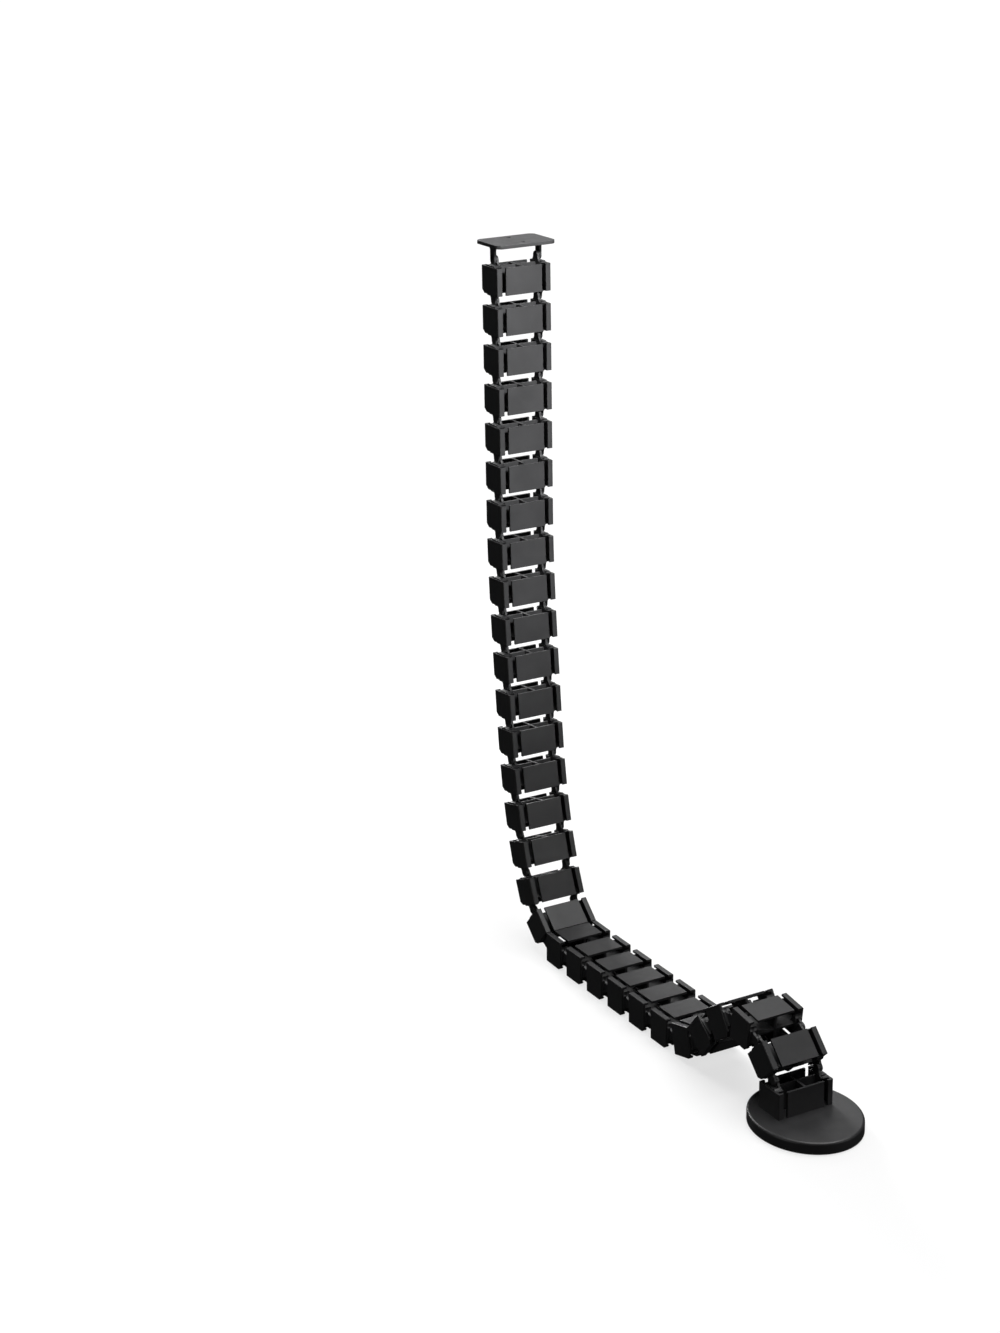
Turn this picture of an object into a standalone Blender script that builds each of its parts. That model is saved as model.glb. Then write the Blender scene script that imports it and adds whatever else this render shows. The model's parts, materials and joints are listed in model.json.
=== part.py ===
"""Cable spine: a hinged chain of hollow links that leads cables from a desk down to the floor.

Metres, +Z up, the viewer at -Y. The origin is on the floor, under the collar of the base.
The chain hangs from the desk bracket, runs along the floor and arches into the collar.
Each link has its origin on the hinge at its lower end, which joins it to the link below it.
"""
import math

import bmesh
import bpy
from mathutils import Matrix, Vector

# Cross-section shared by the links and the collar
LINK_WIDTH = 0.059
LINK_DEPTH = 0.031
WALL = 0.0022
STRIP_WIDTH = 0.0055
SLOT_WIDTH = 0.0042
CORNER_RADIUS = 0.0010
CORNER_STEPS = 1

# Link, measured along the chain; the gap and the chamfer leave these spare degrees of bend
LINK_HEIGHT = 0.0265
INWARD_SPARE = 2.9
OUTWARD_SPARE = 10.0
CHAMFER_SLOPE = 0.8

# Hinge: an ear of the lower link with a hole, a lug of the upper link with a snap pin, both on
# roots that reach the side walls
HINGE_INSET = 0.0035
PLATE_THICKNESS = 0.0022
RUNNING_GAP = 0.0004
HEAD_RADIUS = 0.0034
HEAD_STEPS = 2
ROOT_WIDTH = 0.0185
ROOT_STEP = 0.0003
SWING_GAP = 0.0008
GUSSET_HEIGHT = 0.007
PIN_RADIUS = 0.0016
PIN_CLEARANCE = 0.0003
PIN_RECESS = 0.0002
PIN_SIDES = 6

# Rest shape: how far each link leans from the vertical, in degrees, from the desk down
STRAIGHT_LINKS = 7
HANGING_LEANS = (2.0, 3.5, 4.5, 5.0, 5.0, 6.0, 8.5, 12.5, 17.0, 22.5, 48.0, 89.0)
FLOOR_LINKS = 5
FLOOR_LEAN = 90.0
RISING_LEANS = (103.5, 141.0, 123.5)
FALLING_LEAN = 44.8

# Base
BASE_WIDTH = 0.099
BASE_LENGTH = 0.115
BASE_HEIGHT = 0.012
BASE_FORWARD = 0.015
BASE_WALL = 0.0024
BASE_EDGE = 0.0024
BASE_EDGE_STEPS = 2
OVAL_SIDES = 32
COLLAR_HEIGHT = 0.02515
RIM_LIFT = 0.0008
PAD_THICKNESS = 0.0018
SEAT_GAP = 0.0003
BOSS_RADIUS = 0.0027
BOSS_INSET = 0.0115
SCREW_RADIUS = 0.0012
SCREW_HEAD_RADIUS = 0.0040
SCREW_HEAD_HEIGHT = 0.0011
SCREW_END_GAP = 0.0010
ROUND_SIDES = 8

# Bracket under the desk
FLANGE_WIDTH = 0.064
FLANGE_DEPTH = 0.046
FLANGE_THICKNESS = 0.0035
FLANGE_CORNER = 0.006
FLANGE_RISE = 0.0170
FIXING_RADIUS = 0.0022
FIXING_SINK_RADIUS = 0.0042
FIXING_SINK_DEPTH = 0.0020
FIXING_SPREAD = 0.014
FIXING_SIDES = 8

LEANS_TO_ARCH = (0.0,) * STRAIGHT_LINKS + HANGING_LEANS + (FLOOR_LEAN,) * FLOOR_LINKS + RISING_LEANS
INWARD_BEND = max(lower - upper for upper, lower in zip(LEANS_TO_ARCH, LEANS_TO_ARCH[1:]))
LINK_GAP = LINK_DEPTH * math.tan(math.radians(INWARD_BEND + INWARD_SPARE) / 2)
PITCH = LINK_HEIGHT + LINK_GAP
HALF_GAP = LINK_GAP / 2
PIVOT_OVER_FLOOR = LINK_DEPTH / 2
COLLAR_PIVOT = BASE_HEIGHT + COLLAR_HEIGHT + HALF_GAP
LUG_OUTER = LINK_WIDTH / 2 - HINGE_INSET
LUG_INNER = LUG_OUTER - PLATE_THICKNESS
EAR_OUTER = LUG_INNER - RUNNING_GAP
EAR_INNER = EAR_OUTER - PLATE_THICKNESS
ROOT_INNER = EAR_INNER - ROOT_STEP
ROOT_OUTER = (LINK_WIDTH - WALL) / 2
CAVITY_TOP = BASE_HEIGHT - BASE_WALL
CAVITY_INSET = BASE_WALL + SEAT_GAP
WEIGHT_LOW = PAD_THICKNESS + SEAT_GAP
WEIGHT_HIGH = CAVITY_TOP - SEAT_GAP
SIDES = ((-1, "left"), (1, "right"))


def clear_scene():
    """Remove the objects of the open file and start two collections."""
    for obj in list(bpy.data.objects):
        bpy.data.objects.remove(obj, do_unlink=True)
    scene = bpy.context.scene
    parts = bpy.data.collections.new("cable_spine")
    cutters = bpy.data.collections.new("cutters")
    scene.collection.children.link(parts)
    scene.collection.children.link(cutters)
    return parts, cutters


PARTS, CUTTERS = clear_scene()


def material(name, colour, roughness, metallic=0.0):
    """A Principled material."""
    mat = bpy.data.materials.new(name)
    mat.use_nodes = True
    shader = mat.node_tree.nodes["Principled BSDF"]
    shader.inputs["Base Color"].default_value = (*colour, 1.0)
    shader.inputs["Roughness"].default_value = roughness
    shader.inputs["Metallic"].default_value = metallic
    return mat


BLACK_PLASTIC = material("black_plastic", (0.022, 0.022, 0.024), 0.45)
ZINC_STEEL = material("zinc_steel", (0.55, 0.55, 0.56), 0.38, 1.0)
FOAM_RUBBER = material("foam_rubber", (0.03, 0.03, 0.03), 0.9)


def add_part(name, mesh, mat, height=0.0, along=0.0, lean=0.0):
    """Put a mesh in the part's collection as a named node, leaning about X."""
    if not mesh.materials:
        mesh.materials.append(mat)
    obj = bpy.data.objects.new(name, mesh)
    PARTS.objects.link(obj)
    obj.location = (0.0, along, height)
    obj.rotation_euler = (-math.radians(lean), 0.0, 0.0)
    return obj


def add_tool(name, mesh):
    """Put a mesh in the cutters' collection, out of the render."""
    obj = bpy.data.objects.new(name, mesh)
    CUTTERS.objects.link(obj)
    obj.hide_render = True
    obj.display_type = "WIRE"
    return obj


def flat_mesh(name, loop, low, high):
    """A flat outline made solid from low to high along Z."""
    bm = bmesh.new()
    rings = [[bm.verts.new((x, y, height)) for x, y in loop] for height in (low, high)]
    skin_rings(bm, rings)
    return finish_mesh(bm, name)


def side_plate(name, loop, inner, outer, side):
    """A flat outline given as (y, z) pairs, made solid between two distances from the middle."""
    low, high = sorted((side * inner, side * outer))
    mesh = flat_mesh(name, loop, low, high)
    mesh.transform(Matrix(((0, 0, 1, 0), (1, 0, 0, 0), (0, 1, 0, 0), (0, 0, 0, 1))))
    return mesh


def round_mesh(name, profile, sides=ROUND_SIDES):
    """A turned solid about Z from (radius, height) pairs, bottom to top."""
    bm = bmesh.new()
    rings = []
    for radius, height in profile:
        rings.append([bm.verts.new((x, y, height)) for x, y in circle(radius, sides)])
    skin_rings(bm, rings)
    return finish_mesh(bm, name)


def skin_rings(bm, rings):
    """Faces between rings of the same number of points, with a cap at each end."""
    bm.faces.new(list(reversed(rings[0])))
    for lower, upper in zip(rings, rings[1:]):
        for index, vert in enumerate(lower):
            following = (index + 1) % len(lower)
            bm.faces.new((vert, lower[following], upper[following], upper[index]))
    bm.faces.new(rings[-1])


def finish_mesh(bm, name):
    """Write a bmesh to a new mesh."""
    bmesh.ops.recalc_face_normals(bm, faces=bm.faces)
    mesh = bpy.data.meshes.new(name)
    bm.to_mesh(mesh)
    bm.free()
    return mesh


def moved(mesh, x=0.0, y=0.0, z=0.0):
    """The same mesh, shifted."""
    mesh.transform(Matrix.Translation((x, y, z)))
    return mesh


def combine(obj, operation, pieces):
    """Join or cut an object with each (name, mesh) piece in turn."""
    for name, mesh in pieces:
        modifier = obj.modifiers.new(name, "BOOLEAN")
        modifier.operation = operation
        modifier.solver = "EXACT"
        modifier.object = add_tool(name, mesh)


def evaluated_mesh(obj, name):
    """The mesh of an object with its modifiers applied."""
    depsgraph = bpy.context.evaluated_depsgraph_get()
    depsgraph.update()
    mesh = bpy.data.meshes.new_from_object(obj.evaluated_get(depsgraph))
    mesh.name = name
    return mesh


def arc(centre, radius, start, end, steps):
    """Points of an arc, both ends included."""
    points = []
    for index in range(steps + 1):
        angle = math.radians(start + (end - start) * index / steps)
        points.append((centre[0] + radius * math.cos(angle), centre[1] + radius * math.sin(angle)))
    return points


def circle(radius, sides, centre=(0.0, 0.0)):
    """Corners of a regular polygon on a circle."""
    return arc(centre, radius, 0.0, 360.0 * (sides - 1) / sides, sides - 1)


def round_hole(radius, sides):
    """Corner radius of a regular polygon that leaves a circle free inside it."""
    return radius / math.cos(math.pi / sides)


def section_loop():
    """The cross-section: four channels, each with a slot, round a mid wall and a web."""
    half_w = LINK_WIDTH / 2
    half_d = LINK_DEPTH / 2
    strip_end = half_w - STRIP_WIDTH
    panel_end = strip_end - SLOT_WIDTH
    corner = (half_w - CORNER_RADIUS, half_d - CORNER_RADIUS)
    quarter = arc(corner, CORNER_RADIUS, 0.0, 90.0, CORNER_STEPS)
    quarter += [
        (strip_end, half_d),
        (strip_end, half_d - WALL),
        (half_w - WALL, half_d - WALL),
        (half_w - WALL, WALL / 2),
        (WALL / 2, WALL / 2),
        (WALL / 2, half_d - WALL),
        (panel_end, half_d - WALL),
        (panel_end, half_d),
    ]
    loop = list(quarter)
    loop += [(-x, y) for x, y in reversed(quarter)]
    loop += [(-x, -y) for x, y in quarter]
    loop += [(x, -y) for x, y in reversed(quarter)]
    return loop


def plate_outline(reach, foot_width):
    """A hinge plate as (y, z) pairs: a round head on the pivot, flaring down to its foot."""
    flare = math.degrees(math.atan2(foot_width / 2 - HEAD_RADIUS, reach))
    loop = arc((0.0, 0.0), HEAD_RADIUS, flare, 180.0 - flare, HEAD_STEPS)
    loop += [(-foot_width / 2, -reach), (foot_width / 2, -reach)]
    return loop


def root_outline():
    """A plate's root: clear of the next link's plate, and tapering on into the mid wall."""
    top = HEAD_RADIUS + SWING_GAP
    half_top = HEAD_RADIUS + (ROOT_WIDTH / 2 - HEAD_RADIUS) * top / HALF_GAP
    foot = HALF_GAP + GUSSET_HEIGHT
    half = [(half_top, -top), (ROOT_WIDTH / 2, -HALF_GAP), (WALL / 4, -foot)]
    return half + [(-y, z) for y, z in reversed(half)]


def ear(side, pivot):
    """An ear and its root, rising to a pivot at a height."""
    outline = plate_outline(HALF_GAP, ROOT_WIDTH - 4 * WALL)
    plate = side_plate("ear", outline, EAR_INNER, EAR_OUTER, side)
    root = side_plate("ear_root", root_outline(), ROOT_INNER, ROOT_OUTER, side)
    return moved(root, z=pivot), moved(plate, z=pivot)


def ear_holes(pivot):
    """A bar across the part that cuts the pin's hole in both ears."""
    loop = circle(round_hole(PIN_RADIUS + PIN_CLEARANCE, PIN_SIDES), PIN_SIDES)
    return moved(side_plate("ear_holes", loop, -LINK_WIDTH, LINK_WIDTH, 1), z=pivot)


def lug(side, outline):
    """A lug that hangs down to a pivot at the origin."""
    return side_plate("lug", [(y, -z) for y, z in outline], LUG_INNER, LUG_OUTER, side)


def lug_root(side):
    """The root of a link's lug."""
    outline = [(y, -z) for y, z in root_outline()]
    return side_plate("lug_root", outline, ROOT_INNER, ROOT_OUTER, side)


def pin(side):
    """The snap pin on the inner face of a lug, reaching through the ear."""
    root = (LUG_INNER + LUG_OUTER) / 2
    return side_plate("pin", circle(PIN_RADIUS, PIN_SIDES), EAR_INNER + PIN_RECESS, root, side)


def chamfer_cutter():
    """A wedge that takes off the lower back edge, so the chain can bend outwards.

    It leaves the upper back edge of the link below free up to the tightest outward bend.
    """
    over = 0.3
    back = LINK_DEPTH / 2
    leans = rest_leans() + [0.0]
    bend = max(upper - lower for upper, lower in zip(leans, leans[1:])) + OUTWARD_SPARE
    turned = math.radians(bend) - math.atan2(HALF_GAP, back)
    radius = math.hypot(back, HALF_GAP)
    y, z = radius * math.cos(turned), radius * math.sin(turned)
    depth = back - y + (z - HALF_GAP) / CHAMFER_SLOPE
    rise = depth * CHAMFER_SLOPE
    low = (back - (1 + over) * depth, HALF_GAP - over * rise)
    high = (back + over * depth, HALF_GAP + (1 + over) * rise)
    return side_plate("chamfer", [low, (high[0], low[1]), high], -LINK_WIDTH, LINK_WIDTH, 1)


def link_mesh():
    """One moulded link: its lower pivot at the origin, its upper pivot one pitch above."""
    body = add_tool("link_body", flat_mesh("link_body", section_loop(), HALF_GAP, PITCH - HALF_GAP))
    combine(body, "DIFFERENCE", [("link_chamfer", chamfer_cutter())])
    for side, word in SIDES:
        ear_root, ear_plate = ear(side, PITCH)
        combine(body, "UNION", [
            ("link_ear_root_" + word, ear_root),
            ("link_ear_" + word, ear_plate),
            ("link_lug_root_" + word, lug_root(side)),
            ("link_lug_" + word, lug(side, plate_outline(HALF_GAP, ROOT_WIDTH - 4 * WALL))),
            ("link_pin_" + word, pin(side)),
        ])
    combine(body, "DIFFERENCE", [("link_holes", ear_holes(PITCH))])
    return evaluated_mesh(body, "link")


def rest_leans():
    """Every link's lean from the vertical, from the desk down to the base.

    The link at the crown of the arch takes what is left, so the arch ends on the collar.
    """
    fixed = RISING_LEANS + (FALLING_LEAN,)
    climb = COLLAR_PIVOT - PIVOT_OVER_FLOOR
    left = climb / PITCH + sum(math.cos(math.radians(lean)) for lean in fixed)
    crown = math.degrees(math.acos(-left))
    return list(LEANS_TO_ARCH) + [crown, FALLING_LEAN]


def build_chain():
    """Every link from the collar up; returns the place of the pivot at the bracket."""
    mesh = link_mesh()
    leans = rest_leans()
    along, height = 0.0, COLLAR_PIVOT
    for number in range(len(leans), 0, -1):
        lean = leans[number - 1]
        add_part(f"link_{number:02d}", mesh, BLACK_PLASTIC, height, along, lean)
        along += PITCH * math.sin(math.radians(lean))
        height += PITCH * math.cos(math.radians(lean))
    return along, height


def oval(inset, height):
    """Points of the base's oval, drawn in by an inset."""
    half_w = BASE_WIDTH / 2 - inset
    half_l = BASE_LENGTH / 2 - inset
    points = []
    for index in range(OVAL_SIDES):
        angle = 2 * math.pi * index / OVAL_SIDES
        points.append(Vector((half_w * math.cos(angle), half_l * math.sin(angle) - BASE_FORWARD, height)))
    return points


def oval_solid(name, levels):
    """An oval solid from (inset, height) pairs, bottom to top."""
    bm = bmesh.new()
    rings = [[bm.verts.new(point) for point in oval(inset, height)] for inset, height in levels]
    skin_rings(bm, rings)
    return finish_mesh(bm, name)


def rounded_levels():
    """The cover's outer form, with a rounded top edge."""
    levels = [(0.0, RIM_LIFT)]
    for step in range(BASE_EDGE_STEPS + 1):
        angle = math.pi / 2 * step / BASE_EDGE_STEPS
        inset = BASE_EDGE * (1 - math.cos(angle))
        levels.append((inset, BASE_HEIGHT - BASE_EDGE * (1 - math.sin(angle))))
    return levels


def boss_centres():
    """Where the four screws of the base stand, well inside the oval."""
    reach = math.sqrt(0.5)
    spread_x = (BASE_WIDTH / 2 - BOSS_INSET) * reach
    spread_y = (BASE_LENGTH / 2 - BOSS_INSET) * reach
    centres = []
    for across in (-1, 1):
        for along in (-1, 1):
            centres.append((across * spread_x, along * spread_y - BASE_FORWARD))
    return centres


def bosses(name, radius, low, high):
    """The same round solid at each screw."""
    pieces = []
    for number, (x, y) in enumerate(boss_centres(), 1):
        mesh = round_mesh(name, [(radius, low), (radius, high)])
        pieces.append((f"{name}_{number}", moved(mesh, x, y)))
    return pieces


def build_cover():
    """The cover, one moulding with its collar, its two ears and the screw bosses."""
    cover = add_tool("cover_body", oval_solid("cover_body", rounded_levels()))
    into_top = CAVITY_TOP + BASE_WALL / 2
    cavity = oval_solid("cavity", [(BASE_WALL, RIM_LIFT - SEAT_GAP), (BASE_WALL, CAVITY_TOP)])
    collar = flat_mesh("collar", section_loop(), into_top, COLLAR_PIVOT - HALF_GAP)
    combine(cover, "DIFFERENCE", [("cover_cavity", cavity)])
    combine(cover, "UNION", [("cover_collar", collar)])
    for side, word in SIDES:
        ear_root, ear_plate = ear(side, COLLAR_PIVOT)
        combine(cover, "UNION", [
            ("cover_ear_root_" + word, ear_root),
            ("cover_ear_" + word, ear_plate),
        ])
    combine(cover, "DIFFERENCE", [("cover_holes", ear_holes(COLLAR_PIVOT))])
    combine(cover, "UNION", bosses("cover_boss", BOSS_RADIUS, WEIGHT_LOW + SEAT_GAP, into_top))
    pilot = SCREW_RADIUS + SEAT_GAP
    pilot_end = CAVITY_TOP - SCREW_END_GAP / 2
    combine(cover, "DIFFERENCE", bosses("cover_pilot", pilot, PAD_THICKNESS, pilot_end))
    add_part("base_cover", evaluated_mesh(cover, "base_cover"), BLACK_PLASTIC)


def build_weight():
    """The steel weight inside the cover, with a hole round each boss."""
    levels = [(CAVITY_INSET, WEIGHT_LOW), (CAVITY_INSET, WEIGHT_HIGH)]
    weight = add_tool("weight_body", oval_solid("weight_body", levels))
    holes = bosses("weight_hole", BOSS_RADIUS + SEAT_GAP, 0.0, BASE_HEIGHT)
    combine(weight, "DIFFERENCE", holes)
    add_part("base_weight", evaluated_mesh(weight, "base_weight"), ZINC_STEEL)


def build_pad():
    """The pad under the weight, with a hole round each screw head."""
    levels = [(CAVITY_INSET, 0.0), (CAVITY_INSET, PAD_THICKNESS)]
    pad = add_tool("pad_body", oval_solid("pad_body", levels))
    holes = bosses("pad_hole", SCREW_HEAD_RADIUS + SEAT_GAP, -PAD_THICKNESS, 2 * PAD_THICKNESS)
    combine(pad, "DIFFERENCE", holes)
    add_part("base_pad", evaluated_mesh(pad, "base_pad"), FOAM_RUBBER)


def build_screws():
    """The four screws that hold the weight in the cover."""
    profile = [
        (SCREW_HEAD_RADIUS, PAD_THICKNESS - SCREW_HEAD_HEIGHT),
        (SCREW_HEAD_RADIUS, PAD_THICKNESS),
        (SCREW_RADIUS, PAD_THICKNESS),
        (SCREW_RADIUS, CAVITY_TOP - SCREW_END_GAP),
    ]
    screw = round_mesh("base_screw", profile)
    for number, (x, y) in enumerate(boss_centres(), 1):
        obj = add_part(f"base_screw_{number}", screw, ZINC_STEEL)
        obj.location = (x, y, 0.0)


def flange_loop():
    """The bracket's flange seen from above, with rounded corners."""
    half_w = FLANGE_WIDTH / 2 - FLANGE_CORNER
    half_d = FLANGE_DEPTH / 2 - FLANGE_CORNER
    centres = ((half_w, half_d), (-half_w, half_d), (-half_w, -half_d), (half_w, -half_d))
    loop = []
    for index, centre in enumerate(centres):
        loop += arc(centre, FLANGE_CORNER, 90.0 * index, 90.0 * index + 90.0, 3)
    return loop


def build_bracket(along, height):
    """The bracket under the desk, its origin on the uppermost pivot."""
    low = FLANGE_RISE - FLANGE_THICKNESS
    flange = flat_mesh("bracket_flange", flange_loop(), low, FLANGE_RISE)
    bracket = add_tool("bracket_flange", flange)
    for side, word in SIDES:
        outline = plate_outline(low + FLANGE_THICKNESS / 2, ROOT_WIDTH)
        combine(bracket, "UNION", [
            ("bracket_lug_" + word, lug(side, outline)),
            ("bracket_pin_" + word, pin(side)),
        ])
    profile = [
        (FIXING_SINK_RADIUS, low - FLANGE_THICKNESS),
        (FIXING_SINK_RADIUS, low),
        (FIXING_RADIUS, low + FIXING_SINK_DEPTH),
        (FIXING_RADIUS, FLANGE_RISE + FLANGE_THICKNESS),
    ]
    for end, word in ((-1, "front"), (1, "rear")):
        hole = moved(round_mesh("fixing", profile, FIXING_SIDES), y=end * FIXING_SPREAD)
        combine(bracket, "DIFFERENCE", [("bracket_hole_" + word, hole)])
    add_part("desk_bracket", evaluated_mesh(bracket, "desk_bracket"), BLACK_PLASTIC, height, along)


build_cover()
build_weight()
build_pad()
build_screws()
build_bracket(*build_chain())
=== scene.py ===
"""Looks of the cable spine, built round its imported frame.

Metres, +Z up, the viewer at -Y. Every moulding is modelled once in its own coordinates, with the
hinge below it at the origin, and a copy is then set on the hinges that the frame gives.
"""
from __future__ import annotations

import json
import logging
import math
import sys
from contextlib import contextmanager
from dataclasses import dataclass, field
from enum import Enum
from typing import Any, Callable, Iterable, Iterator

import bmesh
import bpy
from mathutils import Matrix, Vector

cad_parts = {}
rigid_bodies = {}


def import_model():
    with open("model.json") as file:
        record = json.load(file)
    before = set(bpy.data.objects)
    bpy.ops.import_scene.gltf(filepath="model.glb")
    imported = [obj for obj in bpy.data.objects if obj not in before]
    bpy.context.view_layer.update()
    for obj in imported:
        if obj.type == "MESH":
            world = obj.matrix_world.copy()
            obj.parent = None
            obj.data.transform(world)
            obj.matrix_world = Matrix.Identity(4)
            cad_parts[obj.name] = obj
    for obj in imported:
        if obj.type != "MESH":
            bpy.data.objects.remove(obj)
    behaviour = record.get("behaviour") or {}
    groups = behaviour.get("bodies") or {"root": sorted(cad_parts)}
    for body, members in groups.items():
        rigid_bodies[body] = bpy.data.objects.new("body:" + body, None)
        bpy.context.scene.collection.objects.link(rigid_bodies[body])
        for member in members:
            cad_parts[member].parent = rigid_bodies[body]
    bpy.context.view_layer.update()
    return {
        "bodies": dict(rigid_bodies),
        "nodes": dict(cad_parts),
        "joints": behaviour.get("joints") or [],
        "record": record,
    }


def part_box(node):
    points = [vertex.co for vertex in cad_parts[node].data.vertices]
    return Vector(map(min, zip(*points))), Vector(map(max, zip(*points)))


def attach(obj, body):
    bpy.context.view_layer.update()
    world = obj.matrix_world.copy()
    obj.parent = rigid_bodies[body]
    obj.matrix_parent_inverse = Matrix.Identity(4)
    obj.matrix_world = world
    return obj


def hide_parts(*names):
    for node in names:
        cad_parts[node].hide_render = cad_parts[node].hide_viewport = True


LOG = logging.getLogger("cable_spine")
NEAR = 1e-5  # two places closer than this count as one, in metres
SHARP = 32.0  # edges sharper than this stay sharp in the shading, in degrees
SOFT_STEPS = 2  # faces across a small rounding
LINK_HEIGHT = 0.0265  # from a link's lower rim to its upper rim, in metres
HINGE_INSET = 0.0035  # from a link's side to the outer face of its lug, in metres

PairTest = Callable[[Vector, Vector], bool]


class Action(Enum):
    """What a tool does to the piece it meets."""

    JOIN = "UNION"
    CUT = "DIFFERENCE"


class Finish(Enum):
    """The record's material slots of the pieces that are replaced."""

    PLASTIC = "black_plastic"
    STEEL = "zinc_steel"


# Modelling by hand


def activate(piece: bpy.types.Object) -> None:
    """Make a piece the only one selected.

    Args:
        piece: The object that the next operator works on.
    """
    bpy.ops.object.select_all(action="DESELECT")
    piece.select_set(True)
    bpy.context.view_layer.objects.active = piece


def added(name: str) -> bpy.types.Object:
    """Name the primitive that was just added and apply its place.

    Args:
        name: Name for the new object.

    Returns:
        The new object, with its place in its mesh.
    """
    piece = bpy.context.object
    piece.name = name
    activate(piece)
    bpy.ops.object.transform_apply(location=True, rotation=True, scale=True)
    return piece


def block(name: str, low: Iterable[float], high: Iterable[float]) -> bpy.types.Object:
    """Add a block between two corners.

    Args:
        name: Name for the new object.
        low: Lowest corner.
        high: Highest corner.

    Returns:
        The block.
    """
    low, high = Vector(low), Vector(high)
    bpy.ops.mesh.primitive_cube_add(size=1, location=(low + high) / 2, scale=high - low)
    return added(name)


def rod(name: str, radius: float, start: Iterable[float], end: Iterable[float], sides: int,
        end_radius: float | None = None) -> bpy.types.Object:
    """Add a round bar, or a cone, between two points.

    Args:
        name: Name for the new object.
        radius: Radius at the start.
        start: Middle of the first end.
        end: Middle of the other end.
        sides: Faces round the bar.
        end_radius: Radius at the end, where it differs.

    Returns:
        The bar.
    """
    start, end = Vector(start), Vector(end)
    run = end - start
    bpy.ops.mesh.primitive_cone_add(
        vertices=sides, radius1=radius, radius2=radius if end_radius is None else end_radius,
        depth=run.length, location=(start + end) / 2, rotation=run.to_track_quat("Z", "Y").to_euler())
    return added(name)


def copied(piece: bpy.types.Object, name: str, matrix: Matrix) -> bpy.types.Object:
    """Copy a piece with its own mesh, moved inside the mesh.

    Args:
        piece: The object to copy.
        name: Name for the copy.
        matrix: Where the copy's mesh goes.

    Returns:
        The copy.
    """
    copy = piece.copy()
    copy.data = piece.data.copy()
    copy.name = copy.data.name = name
    copy.data.transform(matrix)
    bpy.context.scene.collection.objects.link(copy)
    return copy


def removed(piece: bpy.types.Object) -> None:
    """Take a pattern or a tool away.

    Args:
        piece: The object that has been used up.
    """
    bpy.data.objects.remove(piece, do_unlink=True)


@contextmanager
def editing(piece: bpy.types.Object) -> Iterator[None]:
    """Open a piece's whole mesh for editing, and close it afterwards.

    Args:
        piece: The object to shape.

    Yields:
        Nothing; all of the mesh is selected.
    """
    activate(piece)
    bpy.ops.object.mode_set(mode="EDIT")
    bpy.ops.mesh.select_all(action="SELECT")
    yield
    bpy.ops.object.mode_set(mode="OBJECT")


def outwards(piece: bpy.types.Object) -> None:
    """Point a piece's faces outwards again after a mirror.

    Args:
        piece: The mirrored object.
    """
    with editing(piece):
        bpy.ops.mesh.normals_make_consistent(inside=False)


def combine(piece: bpy.types.Object, action: Action, tools: Iterable[bpy.types.Object]) -> None:
    """Join tools to a piece or cut it with them, and take the tools away.

    Args:
        piece: The object that changes.
        action: Join or cut.
        tools: The objects to use.
    """
    for tool in tools:
        modifier = piece.modifiers.new("combine", "BOOLEAN")
        modifier.operation = action.value
        modifier.solver = "EXACT"
        modifier.object = tool
        activate(piece)
        bpy.ops.object.modifier_apply(modifier=modifier.name)
        removed(tool)


def round_edges(piece: bpy.types.Object, test: PairTest, width: float,
                segments: int = SOFT_STEPS) -> None:
    """Round the edges that a test picks by their place.

    Args:
        piece: The object to shape.
        test: Tells from an edge's two ends whether it's rounded.
        width: How far the rounding reaches from the edge.
        segments: Faces across the rounding.
    """
    activate(piece)
    bpy.ops.object.mode_set(mode="EDIT")
    bpy.ops.mesh.select_mode(type="EDGE")
    bpy.ops.mesh.select_all(action="DESELECT")
    bm = bmesh.from_edit_mesh(piece.data)
    for edge in bm.edges:
        if test(edge.verts[0].co, edge.verts[1].co):
            edge.select_set(True)
    bmesh.update_edit_mesh(piece.data)
    bpy.ops.mesh.bevel(offset=width, offset_type="OFFSET", segments=segments, profile=0.5,
                       affect="EDGES", clamp_overlap=True)
    bpy.ops.object.mode_set(mode="OBJECT")


def select_faces(piece: bpy.types.Object, test: PairTest) -> None:
    """Enter edit mode with only the faces that a test picks selected.

    Args:
        piece: The object to shape.
        test: Tells from a face's middle and its normal whether it's picked.
    """
    activate(piece)
    bpy.ops.object.mode_set(mode="EDIT")
    bpy.ops.mesh.select_mode(type="FACE")
    bpy.ops.mesh.select_all(action="DESELECT")
    bm = bmesh.from_edit_mesh(piece.data)
    bm.normal_update()
    for face in bm.faces:
        if test(face.calc_center_median(), face.normal):
            face.select_set(True)
    bmesh.update_edit_mesh(piece.data)


def finished(piece: bpy.types.Object, material: bpy.types.Material) -> None:
    """Shade a piece smooth over its roundings, with its flat faces kept flat, and give it its material.

    Args:
        piece: The object, with its form complete.
        material: What it's made of.
    """
    activate(piece)
    bpy.ops.object.shade_smooth_by_angle(angle=math.radians(SHARP))
    modifier = piece.modifiers.new("flat_faces", "WEIGHTED_NORMAL")
    modifier.keep_sharp = True
    bpy.ops.object.modifier_apply(modifier=modifier.name)
    piece.data.materials.clear()
    piece.data.materials.append(material)


def upright(a: Vector, b: Vector) -> bool:
    """Tell whether an edge runs along Z.

    Args:
        a: One end of the edge.
        b: Its other end.

    Returns:
        Whether it does.
    """
    return (a.xy - b.xy).length < NEAR < abs(a.z - b.z)


def level_at(height: float) -> PairTest:
    """Give a test for edges that lie at one height.

    Args:
        height: The height.

    Returns:
        The test.
    """
    return lambda a, b: abs(a.z - height) < NEAR and abs(b.z - height) < NEAR


# Finishes


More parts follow.
